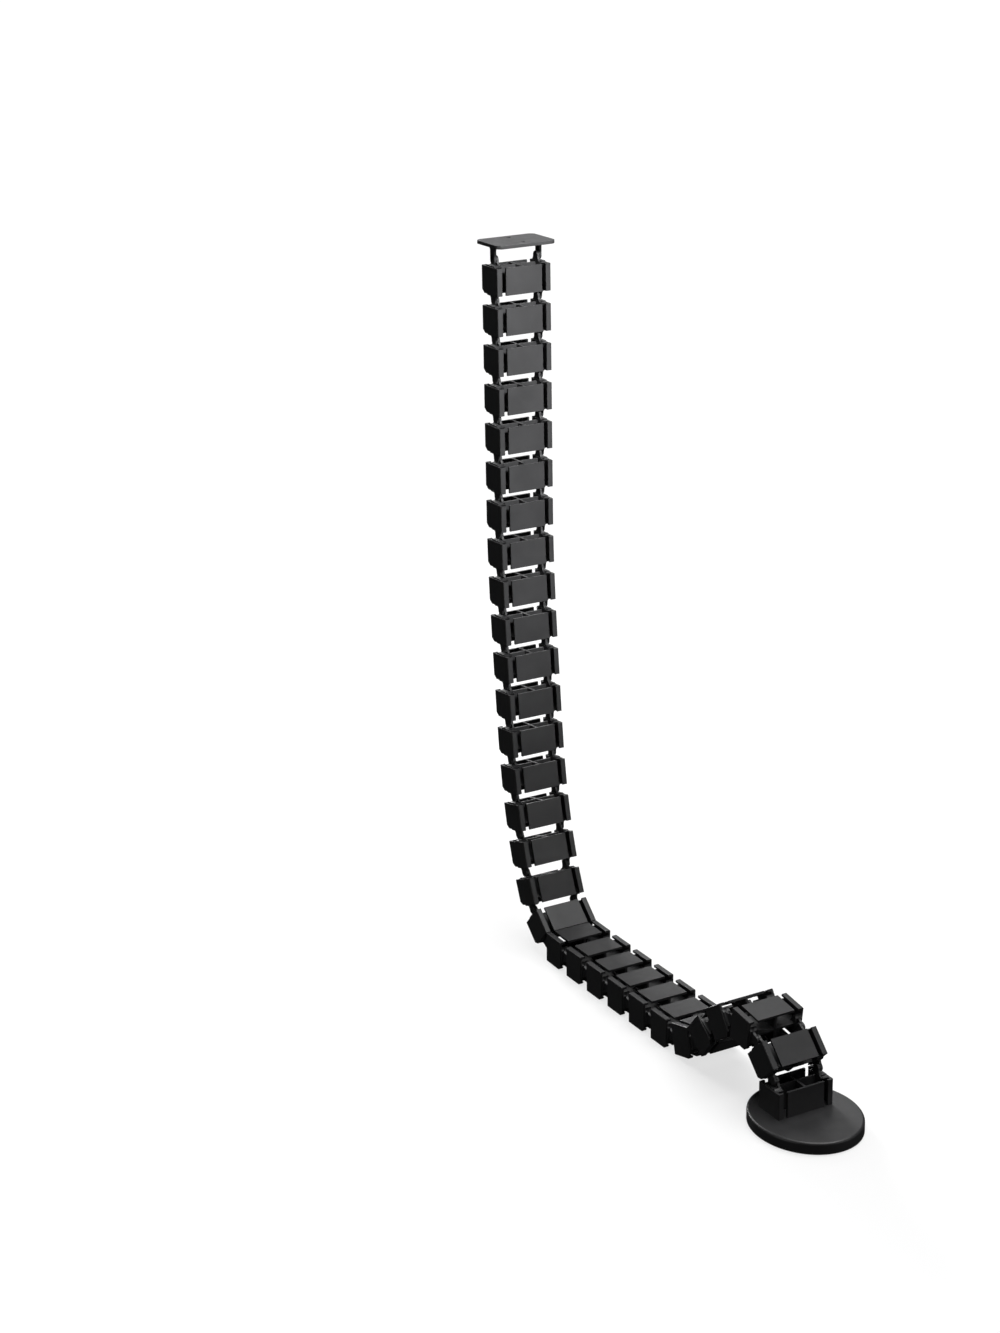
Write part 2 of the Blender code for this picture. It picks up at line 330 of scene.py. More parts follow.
class NodeTree:
    """A material's nodes, built from left to right."""

    def __init__(self, name: str) -> None:
        """Start a material with an empty Principled shader.

        Args:
            name: Name of the material.
        """
        self.material = bpy.data.materials.new(name)
        self.material.use_nodes = True
        self.nodes = self.material.node_tree.nodes
        self.links = self.material.node_tree.links
        self.shader = self.nodes["Principled BSDF"]
        self.place = self.nodes.new("ShaderNodeTexCoord").outputs["Object"]

    def set(self, **values: Any) -> None:
        """Set sockets of the shader, named with _ for each space."""
        for key, value in values.items():
            self.shader.inputs[key.replace("_", " ")].default_value = value

    def noise(self, scale: float, detail: float = 2.0, stretch: tuple[float, float, float] = (1, 1, 1)
              ) -> bpy.types.NodeSocket:
        """Add a noise over the object's coordinates.

        Args:
            scale: How fine the noise is.
            detail: How many finer layers it has.
            stretch: Scale of the coordinates along each axis.

        Returns:
            The noise's value.
        """
        mapping = self.nodes.new("ShaderNodeMapping")
        mapping.inputs["Scale"].default_value = stretch
        texture = self.nodes.new("ShaderNodeTexNoise")
        texture.inputs["Scale"].default_value = scale
        texture.inputs["Detail"].default_value = detail
        self.links.new(self.place, mapping.inputs["Vector"])
        self.links.new(mapping.outputs["Vector"], texture.inputs["Vector"])
        return texture.outputs["Fac"]

    def spread(self, source: bpy.types.NodeSocket, low: float, high: float, reach: float = 0.2
               ) -> bpy.types.NodeSocket:
        """Stretch the middle of a noise over a span of values.

        Args:
            source: The noise.
            low: Value where the noise is low.
            high: Value where the noise is high.
            reach: How far from 0.5 the noise is used.

        Returns:
            The stretched value.
        """
        node = self.nodes.new("ShaderNodeMapRange")
        node.inputs["From Min"].default_value = 0.5 - reach
        node.inputs["From Max"].default_value = 0.5 + reach
        node.inputs["To Min"].default_value = low
        node.inputs["To Max"].default_value = high
        self.links.new(source, node.inputs["Value"])
        return node.outputs["Result"]

    def mix(self, source: bpy.types.NodeSocket, low: tuple[float, ...], high: tuple[float, ...]
            ) -> bpy.types.NodeSocket:
        """Mix two colours by a value.

        Args:
            source: The value, 0 to 1.
            low: Colour at 0.
            high: Colour at 1.

        Returns:
            The colour.
        """
        node = self.nodes.new("ShaderNodeMix")
        node.data_type = "RGBA"
        node.inputs["A"].default_value = (*low, 1.0)
        node.inputs["B"].default_value = (*high, 1.0)
        for item in node.inputs:
            if item.name == "Factor" and item.type == "VALUE":
                self.links.new(source, item)
                break
        return next(item for item in node.outputs if item.type == "RGBA")

    def bump(self, source: bpy.types.NodeSocket, height: float, strength: float,
             under: bpy.types.NodeSocket | None = None) -> bpy.types.NodeSocket:
        """Turn a noise into surface relief.

        Args:
            source: The noise.
            height: Height of the relief, in metres.
            strength: How much of it shows.
            under: Relief that this one lies on.

        Returns:
            The normal.
        """
        node = self.nodes.new("ShaderNodeBump")
        node.inputs["Distance"].default_value = height
        node.inputs["Strength"].default_value = strength
        self.links.new(source, node.inputs["Height"])
        if under is not None:
            self.links.new(under, node.inputs["Normal"])
        return node.outputs["Normal"]

    def wire(self, **sources: bpy.types.NodeSocket) -> None:
        """Link sockets of the shader, named with _ for each space."""
        for key, source in sources.items():
            self.links.new(source, self.shader.inputs[key.replace("_", " ")])


@dataclass(frozen=True)
class MouldedPlastic:
    """Black plastic out of an etched mould: satin, with a fine grain and a slow waviness."""

    dark: tuple[float, float, float] = (0.0190, 0.0190, 0.0198)
    light: tuple[float, float, float] = (0.0250, 0.0250, 0.0260)
    smooth: float = 0.37
    rough: float = 0.46

    def build(self) -> bpy.types.Material:
        """Make the material."""
        tree = NodeTree("satin_black_plastic")
        tree.set(Specular_IOR_Level=0.5, IOR=1.46)
        cloud = tree.noise(38.0, 3.0)
        tree.wire(
            Base_Color=tree.mix(tree.spread(cloud, 0.0, 1.0), self.dark, self.light),
            Roughness=tree.spread(tree.noise(90.0, 4.0), self.smooth, self.rough),
            Normal=tree.bump(tree.noise(2600.0, 2.0), 0.00002, 0.35,
                             tree.bump(tree.noise(120.0, 1.0), 0.00012, 0.25)))
        return tree.material


@dataclass(frozen=True)
class ZincSteel:
    """Zinc plated steel: grey, with a drawn grain along Y and cloudy plating."""

    dark: tuple[float, float, float] = (0.36, 0.37, 0.38)
    light: tuple[float, float, float] = (0.60, 0.60, 0.59)

    def build(self) -> bpy.types.Material:
        """Make the material."""
        tree = NodeTree("zinc_plated_steel")
        tree.set(Metallic=1.0)
        cloud = tree.noise(120.0, 5.0)
        grain = tree.noise(900.0, 2.0, (1.0, 0.06, 1.0))
        tree.wire(
            Base_Color=tree.mix(tree.spread(cloud, 0.0, 1.0), self.dark, self.light),
            Roughness=tree.spread(grain, 0.28, 0.48),
            Normal=tree.bump(grain, 0.00002, 0.3))
        return tree.material


@dataclass(frozen=True)
class FoamRubber:
    """Closed-cell foam rubber: near black, matte, with fine cells."""

    dark: tuple[float, float, float] = (0.012, 0.012, 0.012)
    light: tuple[float, float, float] = (0.030, 0.030, 0.031)

    def build(self) -> bpy.types.Material:
        """Make the material."""
        tree = NodeTree("foam_rubber_pad")
        cells = tree.noise(1500.0, 3.0)
        tree.set(Specular_IOR_Level=0.25)
        tree.wire(
            Base_Color=tree.mix(tree.spread(cells, 0.0, 1.0), self.dark, self.light),
            Roughness=tree.spread(cells, 0.82, 0.97),
            Normal=tree.bump(cells, 0.00012, 0.6))
        return tree.material


# Mouldings


@dataclass
class Section:
    """The hollow cross-section of the links and the collar: four channels, each with a slot."""

    width: float
    depth: float
    wall: float = 0.0022
    strip: float = 0.0055
    slot: float = 0.0042
    corner: float = 0.0010
    corner_steps: int = 4
    inner_corner: float = 0.0009
    inner_steps: int = 3
    lip: float = 0.00035
    rim: float = 0.00038

    @property
    def strip_end(self) -> float:
        """Distance from the middle to the outer side of a slot."""
        return self.width / 2 - self.strip

    @property
    def panel_end(self) -> float:
        """Distance from the middle to the inner side of a slot."""
        return self.strip_end - self.slot

    def channel(self, low: float, high: float) -> bpy.types.Object:
        """Make the tool that clears one channel.

        Args:
            low: Lower end of the cut.
            high: Upper end of the cut.

        Returns:
            The tool, in the right rear channel.
        """
        tool = block("channel", (self.wall / 2, self.wall / 2, low),
                     (self.width / 2 - self.wall, self.depth / 2 - self.wall, high))
        round_edges(tool, upright, self.inner_corner, self.inner_steps)
        return tool

    def shell(self, name: str, low: float, high: float) -> bpy.types.Object:
        """Make a stretch of the section with crisp ends.

        Args:
            name: Name for the piece.
            low: Height of the lower end.
            high: Height of the upper end.

        Returns:
            The stretch.
        """
        half = Vector((self.width / 2, self.depth / 2))
        past = 2 * self.wall
        shell = block(name, (-half.x, -half.y, low), (half.x, half.y, high))
        round_edges(shell, upright, self.corner, self.corner_steps)
        channel = self.channel(low - past, high + past)
        behind_wall = half.y - 1.5 * self.wall
        slot = block("slot", (self.panel_end, behind_wall, low - past),
                     (self.strip_end, half.y + past, high + past))
        for turn in (Matrix.Identity(4), Matrix.Rotation(math.pi, 4, "Z")):
            for mirror in (1, -1):
                place = turn @ Matrix.Diagonal((mirror, 1, 1, 1))
                tools = [copied(tool, tool.name + "_cut", place) for tool in (channel, slot)]
                for tool in tools:
                    outwards(tool)
                combine(shell, Action.CUT, tools)
        removed(channel)
        removed(slot)
        round_edges(shell, self.at_lip, self.lip)
        return shell

    def at_lip(self, a: Vector, b: Vector) -> bool:
        """Tell whether an edge is a slot's outer edge.

        Args:
            a: One end of the edge.
            b: Its other end.

        Returns:
            Whether it is.
        """
        at_slot = min(abs(abs(a.x) - self.strip_end), abs(abs(a.x) - self.panel_end)) < NEAR
        return upright(a, b) and at_slot and abs(abs(a.y) - self.depth / 2) < NEAR


@dataclass
class Hinge:
    """The hinge between two links: an ear with a hole inside a lug with a snap pin."""

    half_gap: float
    outer: float
    root_outer: float
    plate: float = 0.0022
    running_gap: float = 0.0004
    waist: float = 0.0042
    swing_gap: float = 0.0006
    root_step: float = 0.0003
    gusset: float = 0.0070
    foot: float = 0.0006
    pin_radius: float = 0.0016
    pin_clearance: float = 0.0002
    pin_recess: float = 0.0002
    soft: float = 0.0003
    sides: int = 40

    @property
    def lug_span(self) -> tuple[float, float]:
        """Inner and outer face of a lug."""
        return self.outer - self.plate, self.outer

    @property
    def ear_span(self) -> tuple[float, float]:
        """Inner and outer face of an ear."""
        outer = self.outer - self.plate - self.running_gap
        return outer - self.plate, outer

    def flanks(self, span: tuple[float, float], reach: float) -> list[bpy.types.Object]:
        """Make the tools that hollow a plate's two flanks.

        Args:
            span: Inner and outer face of the plate.
            reach: How far below the pivot the plate's root is.

        Returns:
            The tools.
        """
        radius = self.half_gap
        wide = self.waist + radius
        inner, outer = span[0] - radius, span[1] + radius
        tools = []
        for side in (-1, 1):
            place = side * wide, radius - reach
            tools.append(rod("flank", radius, (inner, *place), (outer, *place), 2 * self.sides))
            if reach > radius + NEAR:
                near, far = sorted((side * self.waist, 2 * side * wide))
                tools.append(block("flank_above", (inner, near, radius - reach),
                                   (outer, far, radius)))
        return tools

    def leaf(self, name: str, span: tuple[float, float], reach: float) -> bpy.types.Object:
        """Make an upright plate with a round head on the pivot and hollowed flanks.

        Args:
            name: Name for the piece.
            span: Inner and outer face.
            reach: How far below the pivot the plate's root is.

        Returns:
            The plate, its pivot at the origin.
        """
        wide = self.waist + self.half_gap
        inner, outer = span
        leaf = block(name, (inner, -wide, -reach), (outer, wide, 0.0))
        combine(leaf, Action.CUT, self.flanks(span, reach))
        head = rod("head", self.waist, (inner, 0, 0), (outer, 0, 0), self.sides)
        combine(leaf, Action.JOIN, [head])
        round_edges(leaf, self.on_face, self.soft)
        return leaf

    @staticmethod
    def on_face(a: Vector, b: Vector) -> bool:
        """Tell whether an edge goes round the inner or the outer face of a plate.

        Args:
            a: One end of the edge.
            b: Its other end.

        Returns:
            Whether it does.
        """
        return abs(a.x - b.x) < NEAR

    def root(self, name: str) -> bpy.types.Object:
        """Make a plate's root: below the next link's swing, out to the side wall, tapering down.

        Args:
            name: Name for the piece.

        Returns:
            The root, its pivot at the origin.
        """
        wide = self.waist + self.half_gap
        top = -self.waist - self.swing_gap
        span = self.ear_span[0] - self.root_step, self.root_outer
        root = block(name, (span[0], -wide, -self.half_gap - self.gusset), (span[1], wide, top))
        for side in (-1, 1):
            self.slope(root, side, wide)
        combine(root, Action.CUT, self.flanks(span, self.half_gap))
        round_edges(root, self.on_face, self.soft)
        return root

    def slope(self, root: bpy.types.Object, side: int, wide: float) -> None:
        """Cut one side of a root's gusset to its slope.

        Args:
            root: The root.
            side: -1 in front, 1 at the back.
            wide: Half the root's depth above its gusset.
        """
        with editing(root):
            bpy.ops.mesh.bisect(plane_co=(0, side * wide, -self.half_gap),
                                plane_no=(0, side * self.gusset, self.foot - wide),
                                use_fill=True, clear_outer=True, threshold=1e-7)

    def ears(self, pivot: float) -> list[bpy.types.Object]:
        """Make both ears with their roots.

        Args:
            pivot: Height of the pivot that they rise to.

        Returns:
            The roots and the ears.
        """
        place = Matrix.Translation((0, 0, pivot))
        return (self.pair(self.root("ear_root"), place)
                + self.pair(self.leaf("ear", self.ear_span, self.half_gap), place))

    def lugs(self, reach: float) -> list[bpy.types.Object]:
        """Make both lugs, hanging down to the pivot at the origin.

        Args:
            reach: How far above the pivot they start.

        Returns:
            The lugs.
        """
        return self.pair(self.leaf("lug", self.lug_span, reach), Matrix.Rotation(math.pi, 4, "X"))

    def lug_roots(self) -> list[bpy.types.Object]:
        """Make the roots of a link's lugs."""
        return self.pair(self.root("lug_root"), Matrix.Rotation(math.pi, 4, "X"))

    def pins(self) -> list[bpy.types.Object]:
        """Make both snap pins, reaching inwards from the lugs at the origin."""
        tip = self.ear_span[0] + self.pin_recess
        pin = rod("pin", self.pin_radius, (sum(self.lug_span) / 2, 0, 0), (tip, 0, 0), self.sides)
        round_edges(pin, lambda a, b: max(abs(a.x - tip), abs(b.x - tip)) < NEAR, self.soft)
        return self.pair(pin, Matrix.Identity(4))

    def holes(self, pivot: float) -> list[bpy.types.Object]:
        """Make the tool that drills both ears.

        Args:
            pivot: Height of the pivot.

        Returns:
            The tool.
        """
        reach = 2 * self.outer
        radius = self.pin_radius + self.pin_clearance
        return [rod("hole", radius, (-reach, 0, pivot), (reach, 0, pivot), self.sides)]

    @staticmethod
    def pair(piece: bpy.types.Object, place: Matrix) -> list[bpy.types.Object]:
        """Set a piece on the right and its mirror image on the left.

        Args:
            piece: The right-hand piece, which is used up.
            place: Where the pair goes.

        Returns:
            The two pieces.
        """
        pieces = []
        for side, word in ((1, "right"), (-1, "left")):
            mirror = Matrix.Diagonal((side, 1, 1, 1))
            pieces.append(copied(piece, f"{piece.name}_{word}", place @ mirror))
            outwards(pieces[-1])
        removed(piece)
        return pieces


@dataclass
class Chain:
    """The 29 alike links between the desk bracket and the base."""

    section: Section
    hinge: Hinge
    pitch: float
    chamfer_rise: float = 0.0040
    chamfer_depth: float = 0.0050
    links: list[bpy.types.Object] = field(default_factory=list)

    @property
    def ends(self) -> tuple[float, float]:
        """Heights of a link's two rims above its lower hinge."""
        return self.hinge.half_gap, self.pitch - self.hinge.half_gap

    def chamfer(self) -> bpy.types.Object:
        """Make the tool that slopes the lower back edge, so the chain can bend outwards."""
        low = self.ends[0]
        back = self.section.depth / 2
        reach = self.section.width
        over = 3 * self.chamfer_rise
        tool = block("chamfer", (-reach, 0, -over), (reach, over, 0))
        slope = math.atan2(self.chamfer_rise, self.chamfer_depth)
        tool.data.transform(Matrix.Translation((0, back - self.chamfer_depth, low))
                            @ Matrix.Rotation(slope, 4, "X")
                            @ Matrix.Translation((0, -self.chamfer_depth, 0)))
        return tool

    def on_chamfer(self, a: Vector, b: Vector) -> bool:
        """Tell whether an edge lies on the chamfer or on a rim.

        Args:
            a: One end of the edge.
            b: Its other end.

        Returns:
            Whether it does.
        """
        low, high = self.ends
        start = self.section.depth / 2 - self.chamfer_depth

        def off(point: Vector) -> float:
            rise = (point.y - start) * self.chamfer_rise / self.chamfer_depth
            return abs(point.z - low - rise)

        sloped = max(off(a), off(b)) < NEAR and min(a.y, b.y) > start - NEAR
        return sloped or level_at(low)(a, b) or level_at(high)(a, b)

    def pattern(self, plastic: bpy.types.Material) -> bpy.types.Object:
        """Model one link, its lower hinge at the origin.

        Args:
            plastic: The link's material.

        Returns:
            The link.
        """
        link = self.section.shell("link_pattern", *self.ends)
        combine(link, Action.CUT, [self.chamfer()])
        round_edges(link, self.on_chamfer, self.section.rim)
        combine(link, Action.JOIN, self.hinge.ears(self.pitch))
        combine(link, Action.CUT, self.hinge.holes(self.pitch))
        combine(link, Action.JOIN, self.hinge.lug_roots())
        combine(link, Action.JOIN, self.hinge.lugs(self.hinge.half_gap))
        combine(link, Action.JOIN, self.hinge.pins())
        finished(link, plastic)
        return link

    def build(self, frame: dict[str, Any], plastic: bpy.types.Material) -> None:
        """Copy the pattern onto every link of the frame.

        Args:
            frame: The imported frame.
            plastic: The links' material.
        """
        pattern = self.pattern(plastic)
        below = {joint["child"]: Vector(joint["pos_m"]) for joint in frame["joints"]}
        above = {joint["parent"]: Vector(joint["pos_m"]) for joint in frame["joints"]}
        for name in sorted(node for node in frame["nodes"] if node.startswith("link_")):
            along = (above[name] - below[name]).normalized()
            across = Vector((1, 0, 0))
            turn = Matrix((across, along.cross(across), along)).transposed().to_4x4()
            link = copied(pattern, f"{name}_moulding", Matrix.Translation(below[name]) @ turn)
            settle(link, name, name)
            self.links.append(link)
        removed(pattern)
        LOG.info("%d links, %d faces each", len(self.links), len(self.links[0].data.polygons))


@dataclass
class BaseCover:
    """The oval cover of the base, one moulding with the collar that takes the chain's foot."""

    section: Section
    hinge: Hinge
    low: Vector
    high: Vector
    pivot: Vector
    height: float = 0.0120
    wall: float = 0.0024
    edge: float = 0.0024
    foot_edge: float = 0.0004
    rim_lift: float = 0.0008
    edge_steps: int = 6
    boss_foot: float = 0.0024
    boss_radius: float = 0.0027
    boss_sides: int = 32
    bore_radius: float = 0.0013
    bore_past: float = 0.0004
    bore_sides: int = 24
    downward: float = -0.9
    sides: int = 128

    @property
    def middle(self) -> Vector:
        """Middle of the oval."""
        return (self.low + self.high) / 2

    def oval(self) -> bpy.types.Object:
        """Model the hollow oval with its rounded top edge."""
        size = self.high - self.low
        centre = self.middle
        cover = rod("base_cover_moulding", size.x / 2, (centre.x, centre.y, self.rim_lift),
                    (centre.x, centre.y, self.height), self.sides)
        with editing(cover):
            bpy.ops.transform.resize(value=(1, size.y / size.x, 1),
                                     center_override=(centre.x, centre.y, 0))
        round_edges(cover, level_at(self.height), self.edge, self.edge_steps)
        select_faces(cover, lambda middle, normal: normal.z < self.downward)
        bpy.ops.mesh.inset(thickness=self.wall, depth=0)
        roof = self.height - self.wall - self.rim_lift
        bpy.ops.mesh.extrude_region_move(TRANSFORM_OT_translate={"value": (0, 0, roof)})
        bpy.ops.object.mode_set(mode="OBJECT")
        round_edges(cover, level_at(self.rim_lift), self.foot_edge)
        return cover

    def bosses(self, screws: list[tuple[Vector, Vector]]
               ) -> tuple[list[bpy.types.Object], list[bpy.types.Object]]:
        """Make the screw bosses and the tools that drill them.

        Args:
            screws: Lowest and highest corner of each screw.

        Returns:
            The bosses and the drills.
        """
        bosses, drills = [], []
        for low, high in screws:
            x, y = ((low + high) / 2).xy
            top = self.height - self.wall / 2
            bosses.append(rod("boss", self.boss_radius, (x, y, self.boss_foot), (x, y, top),
                              self.boss_sides))
            drills.append(rod("drill", self.bore_radius, (x, y, 0),
                              (x, y, high.z + self.bore_past), self.bore_sides))
        return bosses, drills

    def build(self, frame: dict[str, Any], plastic: bpy.types.Material) -> None:
        """Model the cover and put it in the base.

        Args:
            frame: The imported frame.
            plastic: The cover's material.
        """
        cover = self.oval()
        rim = self.pivot.z - self.hinge.half_gap
        collar = self.section.shell("collar", self.height - self.wall / 2, rim)
        round_edges(collar, level_at(rim), self.section.rim)
        combine(cover, Action.JOIN, [collar])
        combine(cover, Action.JOIN, self.hinge.ears(self.pivot.z))
        combine(cover, Action.CUT, self.hinge.holes(self.pivot.z))
        screws = [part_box(node) for node in sorted(frame["nodes"]) if node.startswith("base_screw_")]
        bosses, drills = self.bosses(screws)
        combine(cover, Action.JOIN, bosses)
        combine(cover, Action.CUT, drills)
        finished(cover, plastic)
        settle(cover, "base_cover", "base")
        LOG.info("base cover, %d faces", len(cover.data.polygons))


@dataclass
class BaseScrews:
    """The four screws under the base: a low pan head with a cross recess, and a plain shank."""

    shank: float = 0.0012
    head: float = 0.0011
    recess_arm: float = 0.0021
    recess_width: float = 0.0007
    recess_depth: float = 0.0008
    tip: float = 0.0003
    head_round: float = 0.6
    overlap: float = 1.01
    head_sides: int = 48
    head_steps: int = 4
    shank_sides: int = 32

    def pattern(self, low: Vector, high: Vector, steel: bpy.types.Material) -> bpy.types.Object:
        """Model one screw in the place of the first.

        Args:
            low: Lowest corner of the screw.
            high: Highest corner of the screw.
            steel: The screw's material.

        Returns:
            The screw.
        """
        centre = (low + high) / 2
        x, y = centre.xy
        under_head = low.z + self.head
        screw = rod("screw_pattern", (high.x - low.x) / 2, (x, y, low.z), (x, y, under_head),
                    self.head_sides)
        round_edges(screw, level_at(low.z), self.head_round * self.head, self.head_steps)
        shank = rod("shank", self.shank, (x, y, low.z + self.head / 2),
                    (x, y, high.z - self.shank), self.shank_sides)
        combine(screw, Action.JOIN, [shank])
        point = rod("point", self.shank, (x, y, high.z - self.overlap * self.shank),
                    (x, y, high.z), self.shank_sides, self.tip)
        combine(screw, Action.JOIN, [point])
        half, deep = self.recess_width / 2, low.z + self.recess_depth
        for reach_x, reach_y in ((self.recess_arm, half), (half, self.recess_arm)):
            recess = block("recess", (x - reach_x, y - reach_y, low.z - self.head),
                           (x + reach_x, y + reach_y, deep))
            combine(screw, Action.CUT, [recess])
        finished(screw, steel)
        return screw

    def build(self, frame: dict[str, Any], steel: bpy.types.Material) -> None:
        """Model the screws and put them in the base.

        Args:
            frame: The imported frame.
            steel: The screws' material.
        """
        names = sorted(node for node in frame["nodes"] if node.startswith("base_screw_"))
        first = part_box(names[0])
        pattern = self.pattern(*first, steel)
        for name in names:
            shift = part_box(name)[0] - first[0]
            screw = copied(pattern, f"{name}_turned", Matrix.Translation(shift))
            settle(screw, name, "base")
        removed(pattern)
        LOG.info("%d base screws", len(names))


@dataclass
class DeskBracket:
    """The bracket under the desk: a flange with two screw holes and the uppermost lugs."""

    hinge: Hinge
    pivot: Vector
    low: Vector
    high: Vector
    thickness: float = 0.0035
    corner: float = 0.0060
    corner_steps: int = 8
    spread: float = 0.0140
    hole: float = 0.0022
    sink: float = 0.0042
    sink_depth: float = 0.0020
    hole_sides: int = 40
    soft: float = 0.0004

    def build(self, plastic: bpy.types.Material) -> None:
        """Model the bracket and put it on its body.

        Args:
            plastic: The bracket's material.
        """
        under = self.high.z - self.thickness
        bracket = block("desk_bracket_moulding", (self.low.x, self.low.y, under), self.high)
        round_edges(bracket, upright, self.corner, self.corner_steps)
        for height in (under, self.high.z):
            round_edges(bracket, level_at(height), self.soft)
        reach = under + self.thickness / 4 - self.pivot.z
        place = Matrix.Translation(self.pivot)
        for tool in self.hinge.lugs(reach) + self.hinge.pins():
            tool.data.transform(place)
            combine(bracket, Action.JOIN, [tool])
        for side in (-1, 1):
            x, y = self.pivot.x, self.pivot.y + side * self.spread
            past = self.thickness
            combine(bracket, Action.CUT, [
                rod("fixing", self.hole, (x, y, under - past), (x, y, self.high.z + past),
                    self.hole_sides),
                rod("sink", self.sink, (x, y, under - NEAR), (x, y, under + self.sink_depth),
                    self.hole_sides, self.hole)])
        finished(bracket, plastic)
        settle(bracket, "desk_bracket", "bracket")
        LOG.info("desk bracket, %d faces", len(bracket.data.polygons))


def settle(piece: bpy.types.Object, node: str, body: str) -> None:
    """Hide the CAD node that a piece replaces, and hang the piece on the body that it moves with.

    Args:
        piece: The finished piece.
        node: The CAD node that it replaces.
        body: The CAD body that it moves with.
    """
    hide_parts(node)
    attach(piece, body)


def redress(frame: dict[str, Any], node: str, material: bpy.types.Material) -> None:
    """Give a CAD node that keeps its shape a better material.

    Args:
        frame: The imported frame.
        node: The node.
        material: Its new material.
    """
    piece = frame["nodes"][node]
    for slot in piece.material_slots:
        slot.material = material
    LOG.info("%s keeps its shape", node)


# Studio


@dataclass
class Lamp:
    """A soft light that faces a point, out of the camera's sight."""

    name: str
    place: tuple[float, float, float]
    target: tuple[float, float, float]
    power: float

    def data(self) -> bpy.types.Light:
        """Make the light's data; each kind of lamp has its own."""
        raise NotImplementedError

    def build(self) -> None:
        """Hang the light."""
        data = self.data()
        data.energy = self.power
        light = bpy.data.objects.new(self.name, data)
        light.location = self.place
        aim = Vector(self.target) - Vector(self.place)
        light.rotation_euler = aim.to_track_quat("-Z", "Y").to_euler()
        light.visible_camera = False
        bpy.context.scene.collection.objects.link(light)


@dataclass
class Softbox(Lamp):
    """A rectangular soft light."""

    width: float
    height: float

    def data(self) -> bpy.types.Light:
        """Make the light's data."""
        data = bpy.data.lights.new(self.name, "AREA")
        data.shape = "RECTANGLE"
        data.size, data.size_y = self.width, self.height
        return data


@dataclass
class Spot(Lamp):
    """A round lamp with a soft-edged cone."""

    cone: float
    radius: float = 0.16
    blend: float = 1.0

    def data(self) -> bpy.types.Light:
        """Make the light's data."""
        data = bpy.data.lights.new(self.name, "SPOT")
        data.spot_size = math.radians(self.cone)
        data.spot_blend = self.blend
        data.shadow_soft_size = self.radius
        return data


@dataclass
class FarSoftbox(Lamp):
    """A soft light from so far away that it lights the whole floor alike; its power is in W/m2."""

    spread: float

    def data(self) -> bpy.types.Light:
        """Make the light's data."""
        data = bpy.data.lights.new(self.name, "SUN")
        data.angle = math.radians(self.spread)
        return data


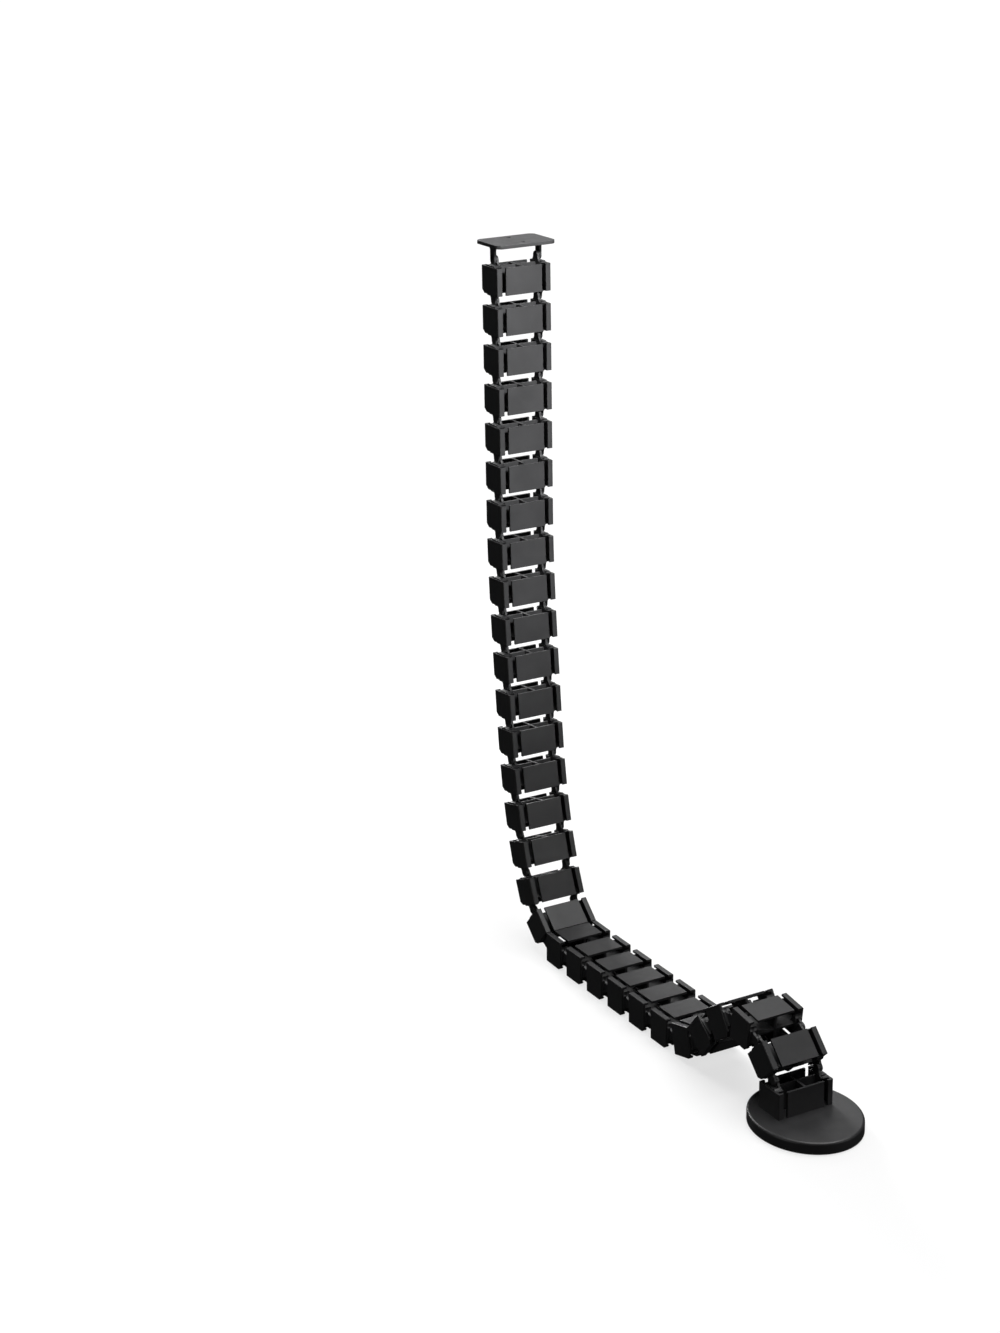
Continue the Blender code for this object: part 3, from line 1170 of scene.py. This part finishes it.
@dataclass
class Studio:
    """The pale floor and backdrop, the soft lights and the camera."""

    top_hinge: Vector
    room: float = 60.0
    backdrop_reach: float = 0.48
    backdrop_rise: float = 0.45
    backdrop_sides: int = 96
    sky: float = 0.02
    glow: float = 0.70
    floor_colour: float = 0.25
    backdrop_glow: float = 1.0
    eye: tuple[float, float, float] = (-1.21697, -2.14668, 0.45149)
    yaw: float = -29.029
    pitch: float = -19.349
    roll: float = -1.041
    image_width: float = 1000.0
    focal_pixels: float = 2587.56
    sensor: float = 36.0

    def build(self) -> None:
        """Set up floor, backdrop, lights and camera."""
        bpy.ops.mesh.primitive_plane_add(size=self.room, location=(0, 0, 0))
        self.dress(added("studio_floor"), "pale_floor", self.floor_colour, self.glow)
        bpy.ops.mesh.primitive_cylinder_add(
            vertices=self.backdrop_sides, radius=self.backdrop_reach * self.room, depth=self.room,
            location=(0, 0, self.backdrop_rise * self.room))
        self.dress(added("studio_backdrop"), "pale_backdrop", 0.0, self.backdrop_glow)
        self.lights()
        self.camera()
        bpy.context.scene.view_settings.view_transform = "Standard"

    @staticmethod
    def dress(stage: bpy.types.Object, name: str, colour: float, glow: float) -> None:
        """Make a stage piece evenly pale, seen by the camera and not mirrored in the object.

        Args:
            stage: The stage piece.
            name: Name of its material.
            colour: How much light it scatters.
            glow: How bright it is by itself.
        """
        tree = NodeTree(name)
        tree.set(Base_Color=(colour, colour, colour, 1.0), Roughness=1.0, Specular_IOR_Level=0.0,
                 Emission_Color=(1.0, 1.0, 1.0, 1.0), Emission_Strength=glow)
        stage.data.materials.append(tree.material)
        stage.visible_glossy = False
        stage.visible_diffuse = False
        stage.visible_shadow = False

    def lights(self) -> None:
        """Hang the lights and set the sky."""
        world = bpy.data.worlds.new("studio_sky")
        world.use_nodes = True
        background = world.node_tree.nodes["Background"]
        background.inputs["Color"].default_value = (1.0, 1.0, 1.0, 1.0)
        background.inputs["Strength"].default_value = self.sky
        bpy.context.scene.world = world
        for lamp in (
                Spot("key", (0.07, -1.59, 1.84), (0.0, 0.54, 0.72), 840.0, 26.5),
                FarSoftbox("top", (0.66, 0.34, 3.50), (0.0, 0.60, 0.0), 2.9, 50.0),
                FarSoftbox("rear", (0.89, 1.83, 1.84), (0.0, 0.22, 0.1), 0.34, 27.0),
                FarSoftbox("behind", (-0.10, 2.60, 1.60), (0.0, 0.40, 0.30), 1.0, 27.0),
                FarSoftbox("back", (0.38, 3.00, 0.66), (0.0, 0.30, 0.25), 6.0, 16.0),
                FarSoftbox("left", (-1.90, 0.25, 0.45), (0.0, 0.25, 0.08), 0.28, 30.0),
                Softbox("low", (1.16, -1.87, 0.47), (0.0, 0.3, 0.3), 5.0, 0.8, 0.8)):
            lamp.build()

    def camera(self) -> None:
        """Set the camera where the photograph was taken from."""
        data = bpy.data.cameras.new("photo_camera")
        data.sensor_fit = "HORIZONTAL"
        data.sensor_width = self.sensor
        data.lens = self.focal_pixels * self.sensor / self.image_width
        data.clip_end = 2 * self.room
        camera = bpy.data.objects.new("photo_camera", data)
        camera.location = self.top_hinge + Vector(self.eye)
        turn = (Matrix.Rotation(math.radians(self.yaw), 3, "Z")
                @ Matrix.Rotation(math.radians(90.0 + self.pitch), 3, "X")
                @ Matrix.Rotation(math.radians(self.roll), 3, "Z"))
        camera.rotation_euler = turn.to_euler()
        bpy.context.scene.collection.objects.link(camera)
        bpy.context.scene.camera = camera


def hinge_between(frame: dict[str, Any], parent: str, child: str) -> Vector:
    """Give the place of the hinge between two bodies.

    Args:
        frame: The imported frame.
        parent: The lower body.
        child: The upper body.

    Returns:
        The middle of the hinge.
    """
    for joint in frame["joints"]:
        if (joint["parent"], joint["child"]) == (parent, child):
            return Vector(joint["pos_m"])
    raise ValueError(f"no hinge between {parent} and {child}")


def main() -> None:
    """Build the spine's looks on the frame, then the studio."""
    logging.basicConfig(level=logging.INFO, format="%(message)s", stream=sys.stdout)
    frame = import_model()

    top = hinge_between(frame, "link_01", "bracket")
    second = hinge_between(frame, "link_02", "link_01")
    foot = hinge_between(frame, "base", "link_29")
    link_low, link_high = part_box("link_01")
    pitch = (top - second).length
    section = Section(link_high.x - link_low.x, link_high.y - link_low.y)
    hinge = Hinge((pitch - LINK_HEIGHT) / 2, section.width / 2 - HINGE_INSET,
                  (section.width - section.wall) / 2)

    plastic = MouldedPlastic().build()
    steel = ZincSteel().build()
    rubber = FoamRubber().build()
    Chain(section, hinge, pitch).build(frame, plastic)
    BaseCover(section, hinge, *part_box("base_cover"), foot).build(frame, plastic)
    BaseScrews().build(frame, steel)
    DeskBracket(hinge, top, *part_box("desk_bracket")).build(plastic)
    redress(frame, "base_weight", steel)
    redress(frame, "base_pad", rubber)
    Studio(top).build()


if __name__ == "__main__":
    main()
